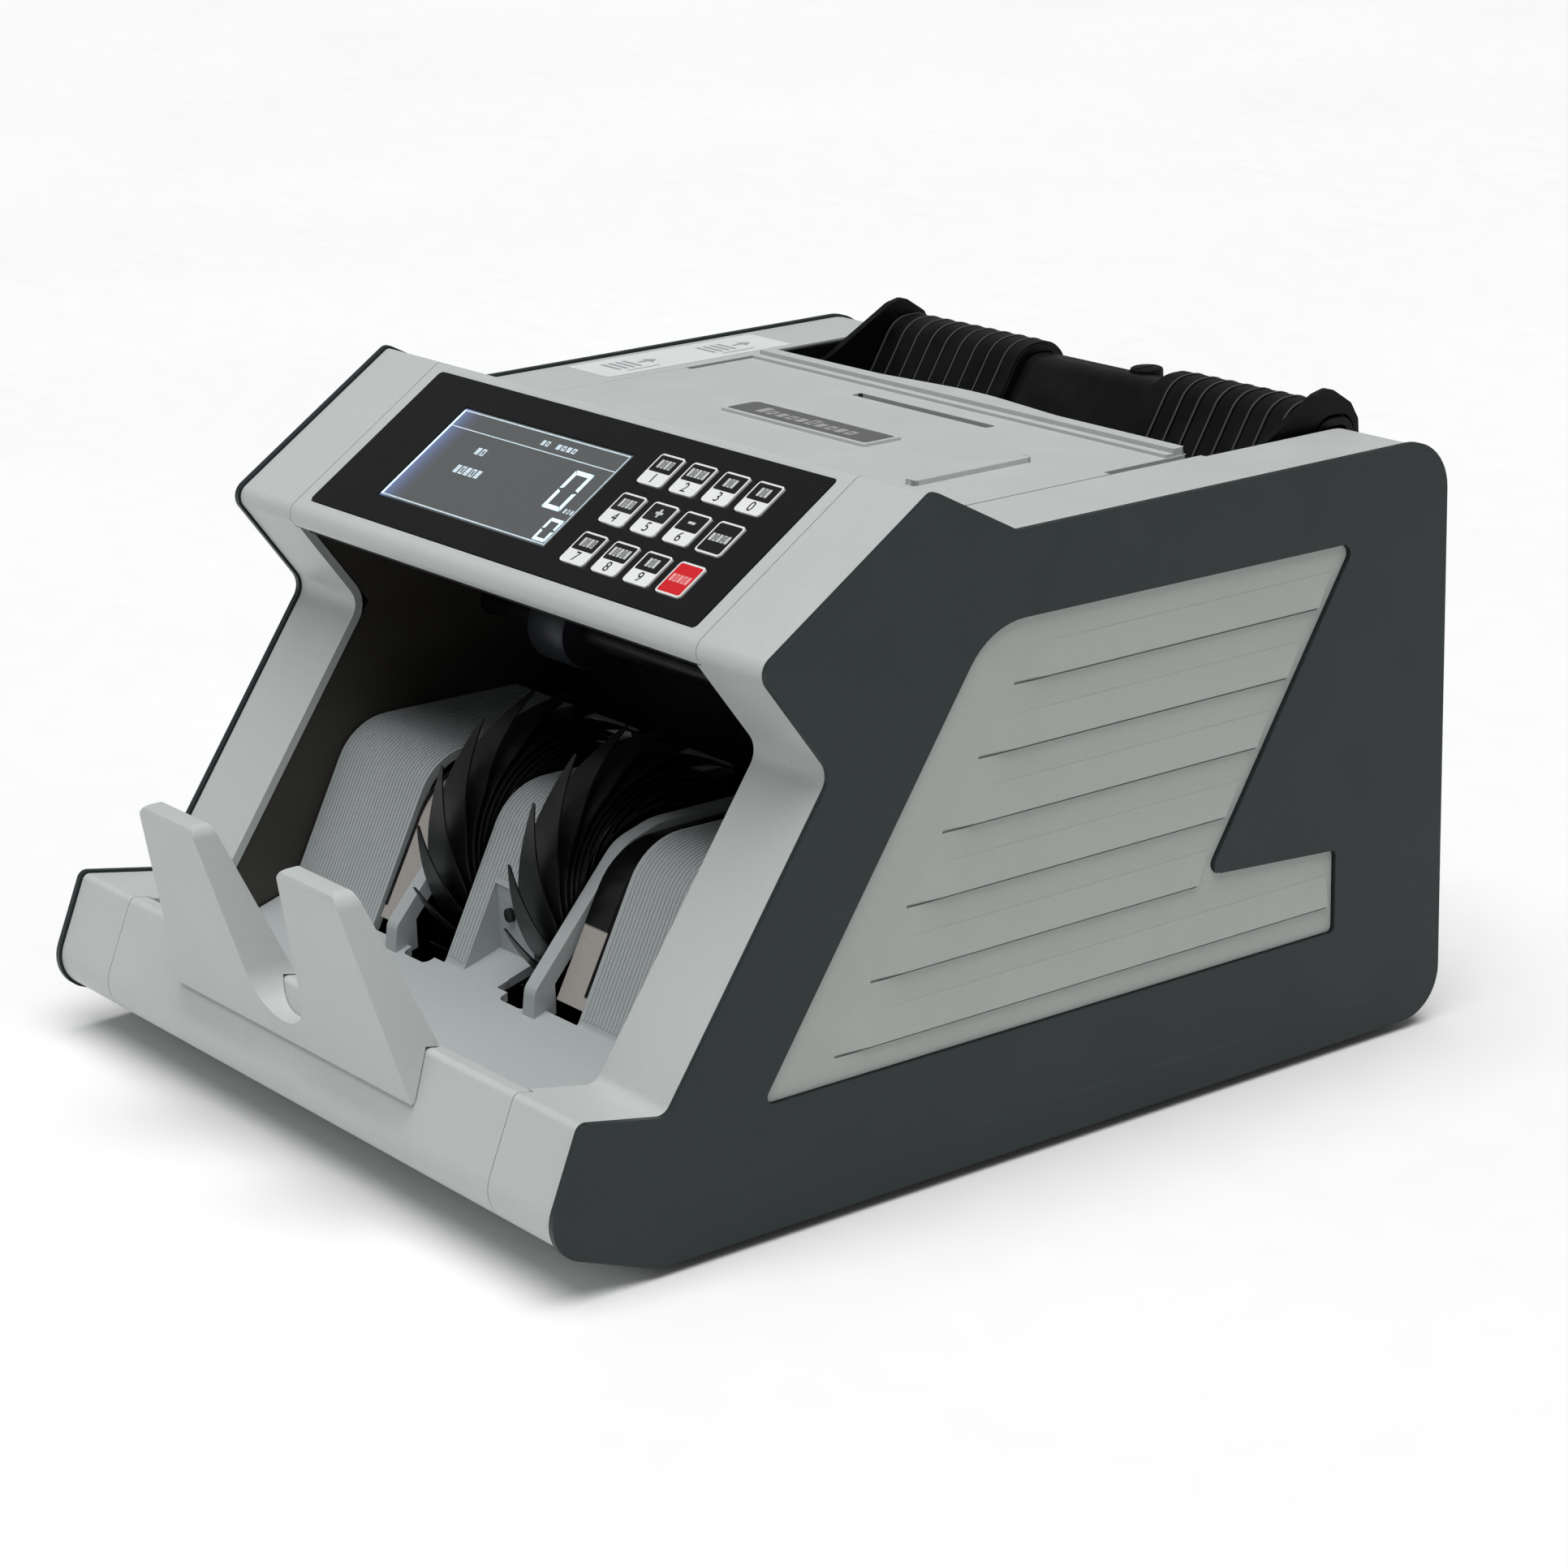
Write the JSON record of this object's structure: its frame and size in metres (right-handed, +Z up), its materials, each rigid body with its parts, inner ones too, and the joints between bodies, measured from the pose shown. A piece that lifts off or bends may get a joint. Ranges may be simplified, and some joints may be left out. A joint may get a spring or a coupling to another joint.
{
  "type": "banknote counting machine",
  "caption": "Desktop banknote counter with a rear hopper, a sloping keypad and screen, two spinning stacker wheels and a front note tray.",
  "frame": {"origin": "on the floor under the middle of the machine", "axes": "+X to the operator's right, +Y to the back, +Z up; the note stacker and the keypad face -Y"},
  "size_m": [0.26, 0.316, 0.1865],
  "materials": {
    "light_casing": "fine moulded texture, satin",
    "dark_casing": "fine moulded texture, satin",
    "inlay": "moulded texture, satin",
    "black_plastic": "semi-gloss",
    "panel_film": "gloss",
    "screen_glass": "gloss",
    "white_key": "gloss",
    "red_key": "gloss",
    "black_key": "gloss",
    "frame_steel": "satin",
    "shaft_steel": "ground",
    "rubber": "matt",
    "board": "solder mask",
    "motor_steel": "plated"
  },
  "bodies": {
    "housing": {"left_side_cover": "dark_casing", "right_side_cover": "dark_casing", "left_side_inlay": "inlay", "right_side_inlay": "inlay", "control_housing": "light_casing", "left_pillar": "light_casing", "right_pillar": "light_casing", "front_cover": "light_casing", "note_stopper": "light_casing", "stacker_plate": "light_casing", "top_cover": "light_casing", "rear_cover": "light_casing", "base_plate": "frame_steel", "hopper_tray": "black_plastic", "hopper_backrest": "black_plastic", "retard_bridge": "black_plastic", "upper_guide": "black_plastic", "key_panel": "panel_film", "lcd_module": "screen_glass", "control_board": "board", "main_board": "board", "transformer": "motor_steel", "left_frame_plate": "frame_steel", "right_frame_plate": "frame_steel", "power_inlet": "black_plastic", "stacker_motor": "motor_steel", "feed_motor": "motor_steel", "stacker_belt": "rubber", "feed_belt": "rubber", "front_left_foot": "rubber", "front_right_foot": "rubber", "rear_left_foot": "rubber", "rear_right_foot": "rubber"},
    "lid": {"lid": "light_casing"},
    "left_guide": {"left_hopper_guide": "black_plastic"},
    "right_guide": {"right_hopper_guide": "black_plastic"},
    "stacker_rotor": {"stacker_shaft": "shaft_steel", "left_stacker_wheel": "black_plastic", "right_stacker_wheel": "black_plastic", "stacker_pulley": "black_plastic"},
    "stacker_motor_rotor": {"stacker_motor_pulley": "black_plastic"},
    "feed_rotor": {"feed_shaft": "shaft_steel", "feed_drum": "rubber"},
    "feed_motor_rotor": {"feed_motor_pulley": "black_plastic"},
    "pickup_rotor": {"pickup_roller": "rubber"},
    "exit_rotor": {"exit_roller": "rubber"},
    "switch_rocker": {"power_switch": "black_key"},
    "knob": {"adjusting_knob": "black_plastic"},
    "key_1_cap": {"key_1": "white_key"},
    "key_2_cap": {"key_2": "white_key"},
    "key_3_cap": {"key_3": "white_key"},
    "key_0_cap": {"key_0": "white_key"},
    "key_4_cap": {"key_4": "white_key"},
    "key_5_cap": {"key_5": "white_key"},
    "key_6_cap": {"key_6": "white_key"},
    "key_mode_cap": {"key_mode": "black_key"},
    "key_7_cap": {"key_7": "white_key"},
    "key_8_cap": {"key_8": "white_key"},
    "key_9_cap": {"key_9": "white_key"},
    "key_start_cap": {"key_start": "red_key"}
  },
  "joints": [
    {"name": "lid_hinge", "type": "hinge", "parent": "housing", "child": "lid", "pos_m": [0, 0.0116, 0.1715], "axis": [1, 0, 0], "range_deg": [0, 70]},
    {"name": "left_guide_slide", "type": "slide", "parent": "housing", "child": "left_guide", "axis": [1, 0, 0], "range_m": [0, 0.012]},
    {"name": "right_guide_slide", "type": "slide", "parent": "housing", "child": "right_guide", "axis": [-1, 0, 0], "range_m": [0, 0.012]},
    {"name": "stacker_spin", "type": "hinge", "parent": "housing", "child": "stacker_rotor", "pos_m": [0, -0.044, 0.061], "axis": [1, 0, 0], "continuous": true},
    {"name": "stacker_motor_spin", "type": "hinge", "parent": "housing", "child": "stacker_motor_rotor", "pos_m": [0.108, 0.027, 0.034], "axis": [1, 0, 0], "continuous": true},
    {"name": "feed_spin", "type": "hinge", "parent": "housing", "child": "feed_rotor", "pos_m": [0, 0.069, 0.102], "axis": [1, 0, 0], "continuous": true},
    {"name": "feed_motor_spin", "type": "hinge", "parent": "housing", "child": "feed_motor_rotor", "pos_m": [-0.108, 0.107, 0.044], "axis": [1, 0, 0], "continuous": true},
    {"name": "pickup_spin", "type": "hinge", "parent": "housing", "child": "pickup_rotor", "pos_m": [0, 0.108, 0.1125], "axis": [1, 0, 0], "continuous": true},
    {"name": "exit_spin", "type": "hinge", "parent": "housing", "child": "exit_rotor", "pos_m": [0, -0.011, 0.112], "axis": [1, 0, 0], "continuous": true},
    {"name": "power_rocker", "type": "hinge", "parent": "housing", "child": "switch_rocker", "pos_m": [-0.045, 0.151, 0.041], "axis": [1, 0, 0], "range_deg": [-20, 0]},
    {"name": "knob_turn", "type": "hinge", "parent": "housing", "child": "knob", "pos_m": [0.012, 0.1524, 0.17], "axis": [0, 0, 1], "range_deg": [-180, 180]},
    {"name": "key_1_press", "type": "slide", "parent": "housing", "child": "key_1_cap", "axis": [0, 0.5464, -0.8375], "range_m": [0, 0.0005], "stiffness_N_per_m": 600},
    {"name": "key_2_press", "type": "slide", "parent": "housing", "child": "key_2_cap", "axis": [0, 0.5464, -0.8375], "range_m": [0, 0.0005], "stiffness_N_per_m": 600},
    {"name": "key_3_press", "type": "slide", "parent": "housing", "child": "key_3_cap", "axis": [0, 0.5464, -0.8375], "range_m": [0, 0.0005], "stiffness_N_per_m": 600},
    {"name": "key_0_press", "type": "slide", "parent": "housing", "child": "key_0_cap", "axis": [0, 0.5464, -0.8375], "range_m": [0, 0.0005], "stiffness_N_per_m": 600},
    {"name": "key_4_press", "type": "slide", "parent": "housing", "child": "key_4_cap", "axis": [0, 0.5464, -0.8375], "range_m": [0, 0.0005], "stiffness_N_per_m": 600},
    {"name": "key_5_press", "type": "slide", "parent": "housing", "child": "key_5_cap", "axis": [0, 0.5464, -0.8375], "range_m": [0, 0.0005], "stiffness_N_per_m": 600},
    {"name": "key_6_press", "type": "slide", "parent": "housing", "child": "key_6_cap", "axis": [0, 0.5464, -0.8375], "range_m": [0, 0.0005], "stiffness_N_per_m": 600},
    {"name": "key_mode_press", "type": "slide", "parent": "housing", "child": "key_mode_cap", "axis": [0, 0.5464, -0.8375], "range_m": [0, 0.0005], "stiffness_N_per_m": 600},
    {"name": "key_7_press", "type": "slide", "parent": "housing", "child": "key_7_cap", "axis": [0, 0.5464, -0.8375], "range_m": [0, 0.0005], "stiffness_N_per_m": 600},
    {"name": "key_8_press", "type": "slide", "parent": "housing", "child": "key_8_cap", "axis": [0, 0.5464, -0.8375], "range_m": [0, 0.0005], "stiffness_N_per_m": 600},
    {"name": "key_9_press", "type": "slide", "parent": "housing", "child": "key_9_cap", "axis": [0, 0.5464, -0.8375], "range_m": [0, 0.0005], "stiffness_N_per_m": 600},
    {"name": "key_start_press", "type": "slide", "parent": "housing", "child": "key_start_cap", "axis": [0, 0.5464, -0.8375], "range_m": [0, 0.0005], "stiffness_N_per_m": 600}
  ],
  "couplings": [
    {"joint": "stacker_motor_spin", "follows": "stacker_spin", "ratio": 2},
    {"joint": "feed_motor_spin", "follows": "feed_spin", "ratio": 1.75},
    {"joint": "pickup_spin", "follows": "feed_spin", "ratio": 1.1765},
    {"joint": "exit_spin", "follows": "feed_spin", "ratio": 1.8182}
  ]
}
